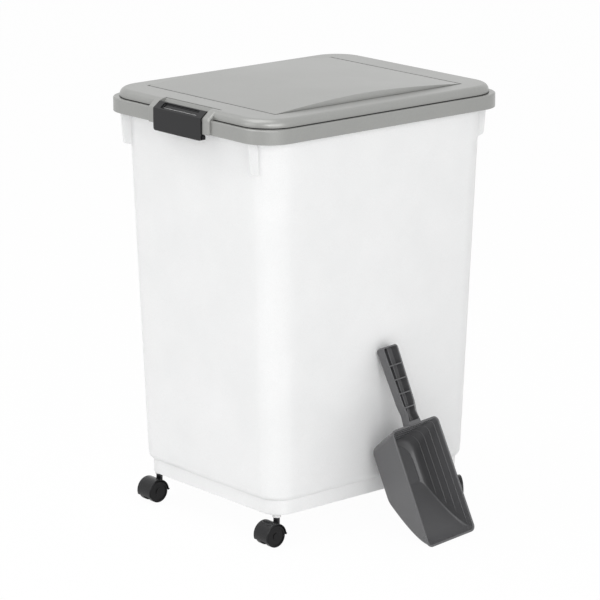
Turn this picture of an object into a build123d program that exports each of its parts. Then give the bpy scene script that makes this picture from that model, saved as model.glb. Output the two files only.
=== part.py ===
from build123d import *
import math
import os

os.makedirs("parts", exist_ok=True)

# Rolling pet food bin: translucent tub on four twin-wheel casters, hinged grey lid with a
# snap latch and a seal, and a scoop that leans against the tub. Millimetres, +Z up.
# The origin is on the floor, midway between the four caster stems. The latch faces -Y.

# Casters
wheel_radius = 16.0
wheel_width = 9.0
wheel_spacing = 10.0      # between the two wheels of a caster
caster_trail = 12.0
hood_gap = 0.8
hood_wall = 1.6
hood_overhang = 0.6
neck_radius = 4.6
neck_rise = 4.2           # top of the neck above the hood
stem_radius = 3.0
stem_bottom_z = 21.0
stem_top_gap = 1.0        # in the socket
socket_radius = 6.0
socket_roof = 3.0         # plastic between the socket and the tub floor
stem_fit = 0.06
socket_fit = 0.1
neck_gap = 0.4            # neck to socket
axle_radius = 1.5
axle_fit = 0.06
grip_ring_height = 2.0
grip_ring_depth = 0.5
grip_ring_drop = 7.0      # its lower end below the top of the stem
grip_ring_slot = 1.2      # width of the slit that lets it spring
grip_ring_gap = 0.1       # above and below it in the stem's groove
wheel_edge = 1.3          # rounding of the tread
wheel_rim = 3.0           # width of the raised rim on the outer face
wheel_dish = 0.9          # depth of the dish inside that rim
wheel_cap = 5.0           # radius of the cap in the dish
wheel_hub = 4.0
tread_wall = 2.2
wheel_web = 2.6           # thickness of the wheel's disc
axle_end = 1.4            # end of the axle, in from the wheel's outer face
web_gap = 1.4             # hood's middle web to a wheel
boss_radius = 5.0
boss_gap = 0.4            # axle boss to a wheel
hood_edge = 1.2
tail_reach = 1.4          # lip at the hood's tail
tail_height = 2.2

# Heights
skirt_lift = 5.0          # lower edge of the foot skirt above the sockets' lower ends
foot_height = 22.0        # from there to the underside of the tub floor
tub_height = 536.6        # from the floor's underside to the top of the sealing lip
lip_in_lid = 24.0         # how far the lid band reaches down over the lip
ring_rise = 8.7           # flat ring around the raised panel, above the lip
band_height = 20.0

# Tub
tub_wall = 2.5
lip_inset_x = 11.5        # from the outside of the lid band to the outside of the lip
lip_inset_y = 18.5
taper_x = 14.5            # how far each wall leans in from the lip to the floor
taper_y = 21.5
stem_inset_x = 22.0       # from the tub's side at the floor to the caster stems
stem_inset_y = 20.0
tub_top_corner = 44.0
tub_base_corner = 36.0
floor_round = 9.0         # rounding between the walls and the floor
foot_inset = 7.0
foot_wall = 2.6
flange_thickness = 2.5
flange_drop = 19.1        # from the top of the lip to the top of the flange
gusset_thickness = 2.5
gusset_inset = 29.0       # from the tub's side at the lip to the gussets
gusset_height = 50.0
gusset_taper = 4.5        # how much narrower a gusset is at its foot
gusset_foot = 5.0         # height of the slope at its foot
root_depth = 1.0          # how far gussets and lugs grow into the tub's wall
web_thickness = 2.0       # plates between a caster socket and the foot skirt
web_lift = 2.0            # how far they stay above the skirt's lower edge

# Lid
lid_wall = 2.5
lid_width = 360.0         # outside of the band
band_edge = 2.0           # rounding of the band's upper edge
lid_length = 450.0
lid_corner = 44.0
dome_inset = 5.2
dome_corner = 49.0
dome_edge = 9.5           # rounding of the dome's upper edge
shadow_groove = 0.9       # depth of the line at the foot of the dome
shadow_height = 1.2
shadow_drop = 0.2         # how far the line starts below the band's top
panel_inset_x = 42.0      # from the outside of the lid to the raised panel
panel_inset_y = 54.5
panel_crown = 8.0
panel_edge = 7.6
panel_groove_width = 2.4
panel_groove_depth = 1.3
skirt_gap = 0.7           # band to tub flange

# Seal
seal_thickness = 2.5
seal_outer_gap = 0.5      # outer rib to lip
seal_inner_gap = 4.0      # lip to inner rib, so that the lid can swing
seal_rib = 1.8
seal_clearance = 0.3
rib_overlap = 2.6         # how far the ribs hang below the top of the lip

# Latch
latch_width = 104.0
latch_proud = 6.0         # its face in front of the band
latch_drop = 9.6          # its lower edge below the band
shoulder_rise = 1.4       # where the upright face turns into the slanted top, above the band
latch_slope_run = 12.0
latch_slope_rise = 9.0
latch_wall = 2.4
latch_top_wall = 3.8
latch_depth = 7.0
latch_corner = 4.0
latch_side_gap = 0.6
latch_nose = 2.2          # the slanted top's lip behind its upper edge
latch_edge = 1.2          # rounding of the shoulder and the upper edge
dish_length = 78.0
dish_width = 10.5
dish_depth = 2.6
dish_corner = 2.5
latch_rib_x = 20.0        # from the middle to each inner rib
latch_rib = 2.4           # thickness of an inner rib
catch_length = 76.0
catch_height = 3.4
catch_gap = 0.3
lug_reach = 1.8           # the latch is wider below the ears
lug_height = 7.6
pivot_inset = 1.2         # pivot behind the front of the band
pivot_rise = 0.2          # and above the shoulder
pivot_radius = 1.5
pivot_fit = 0.08
pocket_depth = 11.7       # from the front of the band to the pocket's back wall
rim_depth = 17.0          # and to its upper rim
rim_line = 2.4            # width of the shadow line along that rim
rim_line_past = 13.0      # how far the line runs on beside the pocket
ear_width = 14.0
ear_proud = 4.0
ear_round = 2.5
ear_top_round = 5.0
ear_skin = 3.0            # what is left of the right ear past the end of the pin's hole
liner_lift = 2.0          # lining's lower end above the flange
rim_drop = 8.3            # how far the pocket's back edge slopes down from the ring

# Rear hinge
hinge_out = 5.0           # hinge axis behind the band
hinge_drop = 1.6          # and below its lower edge
hinge_radius = 4.5
hinge_inset = 70.0        # from the side of the lid to the middle of each hinge
knuckle_width = 18.0
lug_width = 6.0
hinge_side_gap = 0.4
hinge_pin_radius = 2.0
hinge_fit = 0.06
lug_root_drop = 17.0      # how far a lug's root reaches below the hinge axis
lug_top_gap = 0.8         # lug to the lid band above it
knuckle_rise = 13.0       # height of a knuckle's root on the band
pin_head = 1.2            # thickness of a pin's head, and how far it stands out
pin_head_gap = 0.1

# Scoop, in its own frame: X across, Y from the tip to the end of the grip, Z out of the bowl
bowl_back_width = 91.0    # outside of the rim, at the grip end
bowl_tip_width = 93.2
bowl_length = 171.3
bowl_depth = 67.5
bowl_tip_run = 82.3       # how far the tip slopes before the bowl is at its deepest
bowl_back_run = 16.2
bowl_side_run = 6.4
bowl_tip_bend = 1.55      # exponents of the walls' curves
bowl_back_bend = 1.17
bowl_upper_bend = 0.45    # shares of the depth where the walls change slope
bowl_lower_bend = 0.87
bowl_corner = 13.0
bowl_deep_corner = 12.0   # at the back, at full depth
bowl_crease = 6.0         # corner between the sides and the tip, at full depth
bowl_floor_round = 9.0
scoop_wall = 2.0
rim_width = 3.2
rim_height = 3.0
mark_count = 4
mark_first = 9.5
mark_pitch = 13.0
mark_height = 0.9
mark_proud = 0.6
mark_start = 7.0          # where the marks begin, from the tip wall
scoop_length = 285.0
grip_front = 2.0          # the grip stands this far in front of the rim
grip_depth = 15.3
grip_wall = 2.2
grip_floor = 2.4
grip_end_half = 14.3
grip_low_half = 11.8
grip_neck_half = 9.3
grip_end_round = 5.0
grip_neck_length = 14.0
rib_pitch = 20.6
rib_first = 257.2         # the cross rib nearest to the end, from the tip
rib_count = 4
rib_thickness = 1.6
rib_drop = 0.6            # cross ribs end below the grip's front
grip_edge = 1.6           # rounding of the grip's back
lean_angle = 23.6
side_tilt = 4.1
lean_gap = 0.3
scoop_y = 28.2

# How far a cutting form runs past the surface that it cuts
past = 1.0

# Places that follow from the sizes above
wheel_face_x = wheel_width + wheel_spacing / 2      # outer face of each wheel, from the swivel axis
neck_top_z = 2 * wheel_radius + hood_gap + hood_wall + neck_rise
socket_bottom_z = neck_top_z + neck_gap
foot_z = socket_bottom_z + skirt_lift               # lower edge of the foot skirt
floor_z = foot_z + foot_height                      # underside of the tub floor
socket_top_z = floor_z - socket_roof
stem_top_z = socket_top_z - stem_top_gap
lip_z = floor_z + tub_height                        # top of the tub's sealing lip
band_z = lip_z - lip_in_lid                         # lower edge of the lid band
band_top = band_z + band_height
ring_z = lip_z + ring_rise                          # flat ring around the raised lid panel
tub_top_width = lid_width - 2 * lip_inset_x         # outside, at the lip
tub_top_length = lid_length - 2 * lip_inset_y
tub_base_width = tub_top_width - 2 * taper_x        # outside, at the floor
tub_base_length = tub_top_length - 2 * taper_y
stem_x = tub_base_width / 2 - stem_inset_x
stem_y = tub_base_length / 2 - stem_inset_y
gusset_x = tub_top_width / 2 - gusset_inset
panel_width = lid_width - 2 * panel_inset_x
panel_length = lid_length - 2 * panel_inset_y
front_y = -lid_length / 2                           # front of the band
latch_face_y = front_y - latch_proud
latch_bottom_z = band_z - latch_drop
latch_shoulder_z = band_top + shoulder_rise
pivot_y = front_y + pivot_inset
pivot_z = latch_shoulder_z + pivot_rise
pocket_back_y = front_y + pocket_depth
pocket_rim_y = front_y + rim_depth
ear_face_y = front_y - ear_proud
hinge_spacing = lid_width - 2 * hinge_inset
hinge_y = lid_length / 2 + hinge_out
hinge_z = band_z - hinge_drop
flange_top = lip_z - flange_drop
flange_bottom = flange_top - flange_thickness
flange_edge = lid_wall + skirt_gap      # in from the outside of the band
caster_places = {
    "front_left": (-stem_x, -stem_y, 0.0),
    "front_right": (stem_x, -stem_y, 0.0),
    "rear_left": (-stem_x, stem_y, 0.0),
    "rear_right": (stem_x, stem_y, 60.0),
}
hinge_places = {"left": -hinge_spacing / 2, "right": hinge_spacing / 2}
foot_width = tub_base_width - 2 * foot_inset
foot_length = tub_base_length - 2 * foot_inset
foot_corner = tub_base_corner - foot_inset


def slab(width, length, radius, low, high):
    """A rounded rectangle pulled up from one level to another."""
    return Pos(0, 0, low) * extrude(RectangleRounded(width, length, radius), high - low)


def yz_prism(points, low_x, high_x):
    """A closed outline of (y, z) points pulled along X."""
    outline = make_face(Polyline([(0, y, z) for y, z in points], close=True))
    return Pos(low_x, 0, 0) * extrude(outline, high_x - low_x, dir=(1, 0, 0))


def x_rod(radius, y, z, low_x, high_x):
    """A round bar along X."""
    middle = (low_x + high_x) / 2
    return Pos(middle, y, z) * Rot(0, 90, 0) * Cylinder(radius, high_x - low_x)


def z_rod(radius, x, y, low, high):
    """A round bar along Z."""
    return Pos(x, y, (low + high) / 2) * Cylinder(radius, high - low)


def block(x0, x1, y0, y1, z0, z1):
    """A box between two corners."""
    return Pos((x0 + x1) / 2, (y0 + y1) / 2, (z0 + z1) / 2) * Box(x1 - x0, y1 - y0, z1 - z0)


def save(shape, name):
    """Write one sub-part."""
    export_step(shape, os.path.join("parts", name + ".step"))


# The tub's outer size at a level

def tub_share(z):
    return (z - floor_z) / (lip_z - floor_z)


def tub_half_width(z):
    return (tub_base_width + (tub_top_width - tub_base_width) * tub_share(z)) / 2


def tub_half_length(z):
    return (tub_base_length + (tub_top_length - tub_base_length) * tub_share(z)) / 2


def tub_form(inward, low, high, edge):
    """The tapered tub, moved inward by a wall, with a rounded lower edge."""
    rings = []
    for z in (low, high):
        corner = tub_base_corner + (tub_top_corner - tub_base_corner) * tub_share(z) - inward
        ring = RectangleRounded(2 * (tub_half_width(z) - inward), 2 * (tub_half_length(z) - inward), corner)
        rings.append(Pos(0, 0, z) * ring)
    form = loft(rings, ruled=True)
    return fillet(form.edges().group_by(Axis.Z)[0], edge)


def build_tub():
    outer = tub_form(0, floor_z, lip_z, floor_round)
    inner = tub_form(tub_wall, floor_z + tub_wall, lip_z, floor_round - tub_wall)
    above = slab(tub_top_width, tub_top_length, tub_top_corner, lip_z, lip_z + past)
    tub = outer
    # foot skirt under the floor
    tub += slab(foot_width, foot_length, foot_corner, foot_z, floor_z + tub_wall / 2)
    tub -= slab(
        foot_width - 2 * foot_wall, foot_length - 2 * foot_wall, foot_corner - foot_wall,
        foot_z - past, floor_z,
    )
    # flange that carries the lid
    tub += slab(
        lid_width - 2 * flange_edge, lid_length - 2 * flange_edge, lid_corner - flange_edge,
        flange_bottom, flange_top,
    )
    # gusset plates under the flange on both short sides
    reach = lid_length / 2 - flange_edge - root_depth
    foot = flange_bottom - gusset_height
    for side in (-1, 1):
        plate = [
            (side * (tub_half_length(flange_bottom) - root_depth), flange_bottom),
            (side * reach, flange_bottom),
            (side * (reach - gusset_taper), foot + gusset_foot),
            (side * (tub_half_length(foot) - root_depth), foot),
        ]
        for x in (-gusset_x, gusset_x):
            tub += yz_prism(plate, x - gusset_thickness / 2, x + gusset_thickness / 2)
    # hinge lugs at the back
    root_y = tub_half_length(hinge_z) - root_depth
    arm_top = band_z - lug_top_gap
    lug = [
        (root_y, hinge_z - lug_root_drop),
        (root_y, flange_bottom),
        (lid_length / 2 - flange_edge, flange_bottom),
        (lid_length / 2 - flange_edge, arm_top),
        (hinge_y, arm_top),
        (hinge_y, hinge_z - hinge_radius),
    ]
    for x in hinge_places.values():
        for side in (-1, 1):
            near = knuckle_width / 2 + hinge_side_gap
            low_x, high_x = sorted((x + side * near, x + side * (near + lug_width)))
            tub += yz_prism(lug, low_x, high_x)
            tub += x_rod(hinge_radius, hinge_y, hinge_z, low_x, high_x)
        reach_x = knuckle_width / 2 + hinge_side_gap + lug_width + past
        tub -= x_rod(hinge_pin_radius + hinge_fit, hinge_y, hinge_z, x - reach_x, x + reach_x)
    # caster sockets with webs to the skirt
    low = foot_z + web_lift
    high = floor_z + tub_wall / 2
    within = slab(foot_width - foot_wall, foot_length - foot_wall, foot_corner - foot_wall / 2, foot_z, high)
    half = web_thickness / 2
    for x, y, heading in caster_places.values():
        x0, x1 = sorted((x, math.copysign(foot_width / 2, x)))
        y0, y1 = sorted((y, math.copysign(foot_length / 2, y)))
        tub += z_rod(socket_radius, x, y, socket_bottom_z, floor_z + tub_wall / 2)
        tub += block(x0, x1, y - half, y + half, low, high) & within
        tub += block(x - half, x + half, y0, y1, low, high) & within
    tub -= inner + above
    for x, y, heading in caster_places.values():
        tub -= z_rod(stem_radius + socket_fit, x, y, socket_bottom_z - past, socket_top_z)
    return tub


# Lid

def arch(width, length, low, top, crown, edge):
    """A barrel crown along Y over a base, with the long upper edges rounded."""
    half = length / 2
    side = make_face(
        Polyline([(0, -half, top), (0, -half, low), (0, half, low), (0, half, top)])
        + ThreePointArc((0, -half, top), (0, 0, top + crown), (0, half, top))
    )
    barrel = Pos(-width / 2, 0, 0) * extrude(side, width, dir=(1, 0, 0))
    box = block(-width / 2, width / 2, -half - past, half + past, low - past, top + crown)
    box = fillet(box.edges().filter_by(Axis.Y).group_by(Axis.Z)[-1], edge)
    return barrel & box


pocket_half = latch_width / 2 + latch_side_gap
latch_top_y = latch_face_y + latch_slope_run
latch_top_z = latch_shoulder_z + latch_slope_rise
dome_width = lid_width - 2 * dome_inset
dome_length = lid_length - 2 * dome_inset


def lip_ring(outward, low, high):
    """The tub lip's outline, moved outward, as a slab."""
    return slab(
        2 * (tub_half_width(lip_z) + outward), 2 * (tub_half_length(lip_z) + outward),
        tub_top_corner + outward, low, high,
    )


def build_lid():
    band = slab(lid_width, lid_length, lid_corner, band_z, band_top)
    band = fillet(band.edges().group_by(Axis.Z)[-1], band_edge)
    dome = slab(dome_width, dome_length, dome_corner, band_z, ring_z)
    dome = fillet(dome.edges().group_by(Axis.Z)[-1], dome_edge)
    line_low = band_top - shadow_drop
    line = slab(
        dome_width + 2 * past, dome_length + 2 * past, dome_corner + past, line_low, line_low + shadow_height
    )
    line -= slab(
        dome_width - 2 * shadow_groove, dome_length - 2 * shadow_groove, dome_corner - shadow_groove,
        line_low - past, line_low + shadow_height + past,
    )
    lid = band + dome
    lid -= line
    lid += arch(panel_width, panel_length, ring_z - 2, ring_z, panel_crown, panel_edge)
    # groove around the panel
    groove = block(
        -panel_width / 2 - panel_groove_width, panel_width / 2 + panel_groove_width,
        -panel_length / 2 - panel_groove_width, panel_length / 2 + panel_groove_width,
        ring_z - panel_groove_depth, ring_z + past,
    )
    groove -= block(
        -panel_width / 2, panel_width / 2, -panel_length / 2, panel_length / 2,
        ring_z - panel_groove_depth - past, ring_z + 2 * past,
    )
    lid -= groove
    # hollow underside: inside the band, inside the dome and under the crown
    lid -= slab(
        lid_width - 2 * lid_wall, lid_length - 2 * lid_wall, lid_corner - lid_wall,
        band_z - past, band_top - lid_wall,
    )
    hollow = slab(
        dome_width - 2 * lid_wall, dome_length - 2 * lid_wall, dome_corner - lid_wall,
        band_z - past, ring_z - lid_wall,
    )
    lid -= fillet(hollow.edges().group_by(Axis.Z)[-1], dome_edge - lid_wall)
    lid -= arch(
        panel_width - 2 * lid_wall, panel_length - 2 * lid_wall, ring_z - lid_wall - 2, ring_z - lid_wall,
        panel_crown, panel_edge - lid_wall + 0.5,
    )
    # two ribs that hold the seal, and the seat between them
    seat_z = lip_z + seal_clearance + seal_thickness
    rib_z = lip_z - rib_overlap
    outer_face = seal_outer_gap + seal_rib
    inner_face = -(tub_wall + seal_inner_gap + seal_rib)
    skin_top = ring_z - lid_wall / 2
    seal_bed = lip_ring(outer_face, rib_z, skin_top) - lip_ring(inner_face, rib_z - past, ring_z)
    seal_room = lip_ring(seal_outer_gap, rib_z - past, seat_z)
    seal_room -= lip_ring(-tub_wall - seal_inner_gap, rib_z - 2 * past, seat_z + past)
    seal_bed -= seal_room
    skin = slab(dome_width - 1, dome_length - 1, dome_corner, band_z, skin_top)
    lid += seal_bed & fillet(skin.edges().group_by(Axis.Z)[-1], dome_edge - 1)
    # ears beside the latch, lining behind it, and the pocket
    liner_low = flange_top + liner_lift
    ear_inside = -(lid_length / 2 - flange_edge + 0.5)
    ear = [
        (ear_face_y, band_z),
        (ear_inside, band_z),
        (ear_inside, liner_low),
        (pocket_back_y + lid_wall, liner_low),
        (pocket_back_y + lid_wall, ring_z - 1),
        (latch_top_y + 2, latch_top_z + 0.5),
        (ear_face_y, latch_shoulder_z - 0.3),
    ]
    ears = yz_prism(ear, -pocket_half - ear_width, pocket_half + ear_width)
    front_edges = ears.edges().filter_by(Axis.X).sort_by(Axis.Y)[:2]
    ears = fillet(front_edges.sort_by(Axis.Z)[-1], ear_top_round)
    outer_ends = [edge for end in ears.faces().filter_by(Axis.X) for edge in end.edges()]
    ears = fillet([edge for edge in outer_ends if edge.center().Y < ear_face_y + 8], ear_round)
    liner = [
        (-lid_length / 2 + 1, liner_low),
        (pocket_back_y + lid_wall, liner_low),
        (pocket_back_y + lid_wall, ring_z - 8),
        (pocket_rim_y + lid_wall, ring_z - 1),
        (-lid_length / 2 + dome_edge, ring_z - 1),
        (-lid_length / 2 + 1, band_top - 1),
    ]
    lid += ears
    lid += yz_prism(liner, -pocket_half - lid_wall, pocket_half + lid_wall) & (band + dome)
    pocket = [
        (latch_face_y - 9, latch_bottom_z),
        (latch_face_y - 9, ring_z + 3),
        (pocket_rim_y, ring_z + 3),
        (pocket_rim_y, ring_z),
        (pocket_back_y, ring_z - rim_drop),
        (pocket_back_y, latch_bottom_z),
    ]
    lid -= yz_prism(pocket, -pocket_half, pocket_half)
    lid -= x_rod(
        pivot_radius + pivot_fit, pivot_y, pivot_z,
        -pocket_half - ear_width - past, pocket_half + ear_width - ear_skin,
    )
    # shadow line along the pocket's upper rim
    lid -= block(
        -pocket_half, pocket_half + rim_line_past, pocket_rim_y, pocket_rim_y + rim_line,
        ring_z - panel_groove_depth, ring_z + past,
    )
    # hinge knuckles on the back of the band
    knuckle = [
        (lid_length / 2 - 1.5, band_z + 0.6),
        (lid_length / 2 - 1.5, band_z + knuckle_rise),
        (lid_length / 2 + 1.5, band_z + knuckle_rise),
        (hinge_y + hinge_radius, hinge_z),
        (hinge_y - 1, hinge_z - 1),
    ]
    for x in hinge_places.values():
        lid += yz_prism(knuckle, x - knuckle_width / 2, x + knuckle_width / 2)
        lid += x_rod(hinge_radius, hinge_y, hinge_z, x - knuckle_width / 2, x + knuckle_width / 2)
        lid -= x_rod(hinge_pin_radius + hinge_fit, hinge_y, hinge_z, x - knuckle_width, x + knuckle_width)
    return lid


def build_seal():
    top = lip_z + seal_clearance + seal_thickness
    seal = lip_ring(seal_outer_gap - 0.1, lip_z + seal_clearance, top)
    seal -= lip_ring(-tub_wall - seal_inner_gap + 0.1, lip_z, top + past)
    return seal


def build_latch():
    half = latch_width / 2
    back_y = latch_face_y + latch_depth
    outline = [
        (latch_face_y, latch_bottom_z),
        (latch_face_y, latch_shoulder_z),
        (latch_top_y, latch_top_z),
        (latch_top_y + latch_nose, latch_top_z - 2),
        (latch_top_y + latch_nose, latch_top_z - 5.5),
        (back_y, latch_shoulder_z - 2),
        (back_y, latch_bottom_z),
    ]
    latch = yz_prism(outline, -half, half)
    upright = latch.edges().filter_by(Axis.Y).group_by(Axis.Z)[0]
    latch = fillet(upright, latch_corner)
    shoulder = latch.edges().filter_by(Axis.X).filter_by(
        lambda edge: edge.center().Y < latch_top_y + 1 and edge.center().Z > latch_shoulder_z - 1
    )
    latch = fillet(shoulder, latch_edge)
    # wider foot below the ears
    low_lug = block(
        -half - lug_reach, half + lug_reach, latch_face_y + 1.5, back_y,
        latch_bottom_z + latch_edge, latch_bottom_z + lug_height,
    )
    latch += fillet(low_lug.edges().filter_by(Axis.Y), 1.4)
    # hollow back
    slope = math.atan2(latch_slope_rise, latch_slope_run)
    drop = latch_top_wall / math.cos(slope)
    inner_y = latch_face_y + latch_wall
    inner_top = latch_shoulder_z - drop + latch_wall * math.tan(slope)
    inside = [
        (inner_y, latch_bottom_z + latch_wall),
        (inner_y, inner_top),
        (latch_top_y + 4, inner_top + (latch_top_y + 4 - inner_y) * math.tan(slope)),
        (latch_top_y + 4, latch_bottom_z + latch_wall),
    ]
    latch -= yz_prism(inside, -half + latch_wall, half - latch_wall)
    # ribs, pivot bosses and the catch
    rib = [
        (inner_y - 0.5, latch_bottom_z + 1),
        (inner_y - 0.5, inner_top),
        (latch_top_y - 1, inner_top + (latch_top_y - inner_y) * math.tan(slope)),
        (pivot_y + 2.5, pivot_z - 2),
        (back_y, latch_shoulder_z - 8),
        (back_y, latch_bottom_z + 1),
    ]
    for x in (-latch_rib_x, latch_rib_x):
        latch += yz_prism(rib, x - latch_rib / 2, x + latch_rib / 2)
        latch += x_rod(pivot_radius + 1.0, pivot_y, pivot_z, x - 2.5, x + 2.5)
    for side in (-1, 1):
        low_x, high_x = sorted((side * (half - 9), side * half))
        latch += x_rod(pivot_radius + 1.9, pivot_y, pivot_z, low_x, high_x)
    catch_top = flange_bottom - 0.4
    catch_y = -(lid_length / 2 - flange_edge) - catch_gap
    latch += block(
        -catch_length / 2, catch_length / 2, inner_y - 0.5, catch_y, catch_top - catch_height, catch_top
    )
    # finger dish in the slanted top
    middle = ((latch_face_y + latch_top_y) / 2, (latch_shoulder_z + latch_top_z) / 2)
    dish = fillet(Box(dish_length, dish_width, 2 * dish_depth).edges().filter_by(Axis.Z), dish_corner)
    dish = fillet(dish.edges().group_by(Axis.Z)[0], 1.0)
    latch -= Pos(0, middle[0], middle[1]) * Rot(math.degrees(slope), 0, 0) * dish
    latch -= x_rod(pivot_radius + pivot_fit, pivot_y, pivot_z, -half - past, half + past)
    return latch


def build_latch_pin():
    return x_rod(
        pivot_radius, pivot_y, pivot_z, -pocket_half - ear_width + 1, pocket_half + ear_width - ear_skin - 0.2
    )


def build_hinge_pin(x):
    reach = knuckle_width / 2 + hinge_side_gap + lug_width
    pin = x_rod(hinge_pin_radius, hinge_y, hinge_z, x - reach, x + reach)
    head = math.copysign(1, x)
    low_x, high_x = sorted((x + head * (reach + pin_head_gap), x + head * (reach + pin_head_gap + pin_head)))
    pin += x_rod(hinge_pin_radius, hinge_y, hinge_z, min(low_x, x), max(high_x, x))
    return pin + x_rod(hinge_pin_radius + pin_head, hinge_y, hinge_z, low_x, high_x)


# One caster, around its own swivel axis, with the wheels trailing towards -Y

def build_stem():
    stem = z_rod(stem_radius, 0, 0, stem_bottom_z, stem_top_z)
    stem = fillet(stem.edges().group_by(Axis.Z)[-1], 1.2)
    low = stem_top_z - grip_ring_drop
    high = low + grip_ring_height + 2 * grip_ring_gap
    groove = z_rod(stem_radius + past, 0, 0, low, high)
    groove -= z_rod(stem_radius - grip_ring_depth, 0, 0, low - past, high + past)
    return stem - groove


def build_grip_ring():
    low = stem_top_z - grip_ring_drop + grip_ring_gap
    high = low + grip_ring_height
    half = grip_ring_slot / 2
    ring = z_rod(stem_radius + socket_fit - 0.02, 0, 0, low, high)
    ring -= z_rod(stem_radius - grip_ring_depth + 0.05, 0, 0, low - past, high + past)
    return ring - block(-half, half, 0, stem_radius + past, low - past, high + past)


hood_inner = wheel_radius + hood_gap
hood_outer = hood_inner + hood_wall
hood_half = wheel_face_x + hood_overhang


def build_hood():
    center_y = -caster_trail
    center_z = wheel_radius
    cover = x_rod(hood_outer, center_y, center_z, -hood_half, hood_half)
    cover = fillet(cover.edges().filter_by(GeomType.CIRCLE), hood_edge)
    cover -= x_rod(hood_inner, center_y, center_z, -hood_half - past, hood_half + past)
    # open below: level at the tail, lower in front
    below = [
        (center_y - 30, center_z - 6),
        (center_y - 12, center_z - 6),
        (center_y + 8, center_z),
        (center_y + 30, center_z),
        (center_y + 30, center_z - 30),
        (center_y - 30, center_z - 30),
    ]
    cover -= yz_prism(below, -hood_half - past, hood_half + past)
    # tail lip
    tail = block(
        -hood_half + hood_edge, hood_half - hood_edge,
        center_y + hood_outer - hood_wall / 2, center_y + hood_outer + tail_reach,
        center_z, center_z + tail_height,
    )
    hood = cover + fillet(tail.edges().filter_by(Axis.X).sort_by(Axis.Y)[-2:], 0.9)
    # web between the wheels, axle boss and neck
    web_half = wheel_face_x - wheel_width - web_gap
    web = x_rod(hood_inner + 0.5, center_y, center_z, -web_half, web_half)
    web -= yz_prism(below, -hood_half, hood_half)
    hood += web
    boss_half = wheel_face_x - wheel_width - boss_gap
    hood += x_rod(boss_radius, center_y, center_z, -boss_half, boss_half)
    hood += z_rod(neck_radius, 0, 0, center_z + 2, neck_top_z)
    hood += block(-web_half, web_half, center_y, 0, center_z, center_z + 8)
    hood -= z_rod(stem_radius + stem_fit, 0, 0, stem_bottom_z - 0.3, neck_top_z + past)
    hood -= x_rod(axle_radius + 0.02, center_y, center_z, -boss_half - past, boss_half + past)
    return hood


def build_axle():
    half = wheel_face_x - axle_end
    return x_rod(axle_radius, -caster_trail, wheel_radius, -half, half)


def build_wheel(side):
    """One wheel, on the side given as -1 or 1."""
    center_y = -caster_trail
    inner_x = wheel_face_x - wheel_width
    wheel = x_rod(wheel_radius, center_y, wheel_radius, inner_x, wheel_face_x)
    wheel = fillet(wheel.edges().filter_by(GeomType.CIRCLE), wheel_edge)
    # dished outer face with a raised cap
    dish = x_rod(
        wheel_radius - wheel_rim, center_y, wheel_radius, wheel_face_x - wheel_dish, wheel_face_x + past
    )
    dish -= x_rod(wheel_cap, center_y, wheel_radius, wheel_face_x - wheel_dish - past, wheel_face_x - 0.1)
    wheel -= dish
    # hollow between hub and tread on the inner side
    hollow = x_rod(
        wheel_radius - tread_wall, center_y, wheel_radius, inner_x - past, wheel_face_x - wheel_web
    )
    hollow -= x_rod(wheel_hub, center_y, wheel_radius, inner_x - 2 * past, wheel_face_x)
    wheel -= hollow
    wheel -= x_rod(
        axle_radius + axle_fit, center_y, wheel_radius, inner_x - past, wheel_face_x - axle_end + 0.2
    )
    if side < 0:
        wheel = mirror(wheel, Plane.YZ)
    return wheel


# Scoop

def wall_points(depth, inward):
    """Where the tip wall and the back wall stand at a depth, moved in by a wall's thickness."""
    share = depth / bowl_depth
    tip_slope = bowl_tip_run * bowl_tip_bend * share ** (bowl_tip_bend - 1) / bowl_depth
    back_slope = bowl_back_run * bowl_back_bend * share ** (bowl_back_bend - 1) / bowl_depth
    tip = bowl_tip_run * share ** bowl_tip_bend + inward * math.hypot(1, tip_slope)
    back = bowl_length - bowl_back_run * share ** bowl_back_bend - inward * math.hypot(1, back_slope)
    return tip, back


def bowl_outline(depth, inward):
    """The bowl's outline at a depth, drawn in where the walls round into the floor."""
    over = max(depth + bowl_floor_round - bowl_depth, 0)
    rounding = max(bowl_floor_round - inward, 0)
    into_floor = rounding - math.sqrt(max(rounding ** 2 - over ** 2, 0))
    tip, back = wall_points(depth, inward)
    tip += into_floor / 2
    back -= into_floor
    side = inward + into_floor + bowl_side_run * depth / bowl_depth
    spread = (bowl_back_width - bowl_tip_width) / 2 / bowl_length
    tip_half = bowl_tip_width / 2 + spread * tip - side
    back_half = bowl_tip_width / 2 + spread * back - side
    corners = [(-tip_half, tip), (tip_half, tip), (back_half, back), (-back_half, back)]
    outline = make_face(Polyline(corners, close=True))
    share = depth / bowl_depth
    back_corner = bowl_corner + (bowl_deep_corner - bowl_corner) * share - inward
    tip_corner = bowl_crease + (bowl_corner - bowl_crease) * (1 - share) ** 2 - inward
    outline = fillet(outline.vertices().group_by(Axis.Y)[-1], back_corner)
    return Pos(0, 0, -depth) * fillet(outline.vertices().group_by(Axis.Y)[0], tip_corner)


def bowl_form(inward):
    """The bowl as a solid, moved in by a wall's thickness."""
    levels = [0, bowl_upper_bend * bowl_depth, bowl_lower_bend * bowl_depth, bowl_depth - inward]
    outlines = [bowl_outline(level, rim_width - scoop_wall + inward) for level in levels]
    return loft(outlines, ruled=True)


def inner_mark(depth):
    """A thin ridge along the inside of the bowl's side and back walls."""
    ridge = bowl_outline(depth, rim_width - 0.5) - bowl_outline(depth, rim_width + mark_proud)
    start = wall_points(depth, rim_width)[0] + mark_start
    far = bowl_back_width
    return extrude(ridge, mark_height) - block(-far, far, -far, start, -bowl_depth, 0)


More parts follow.
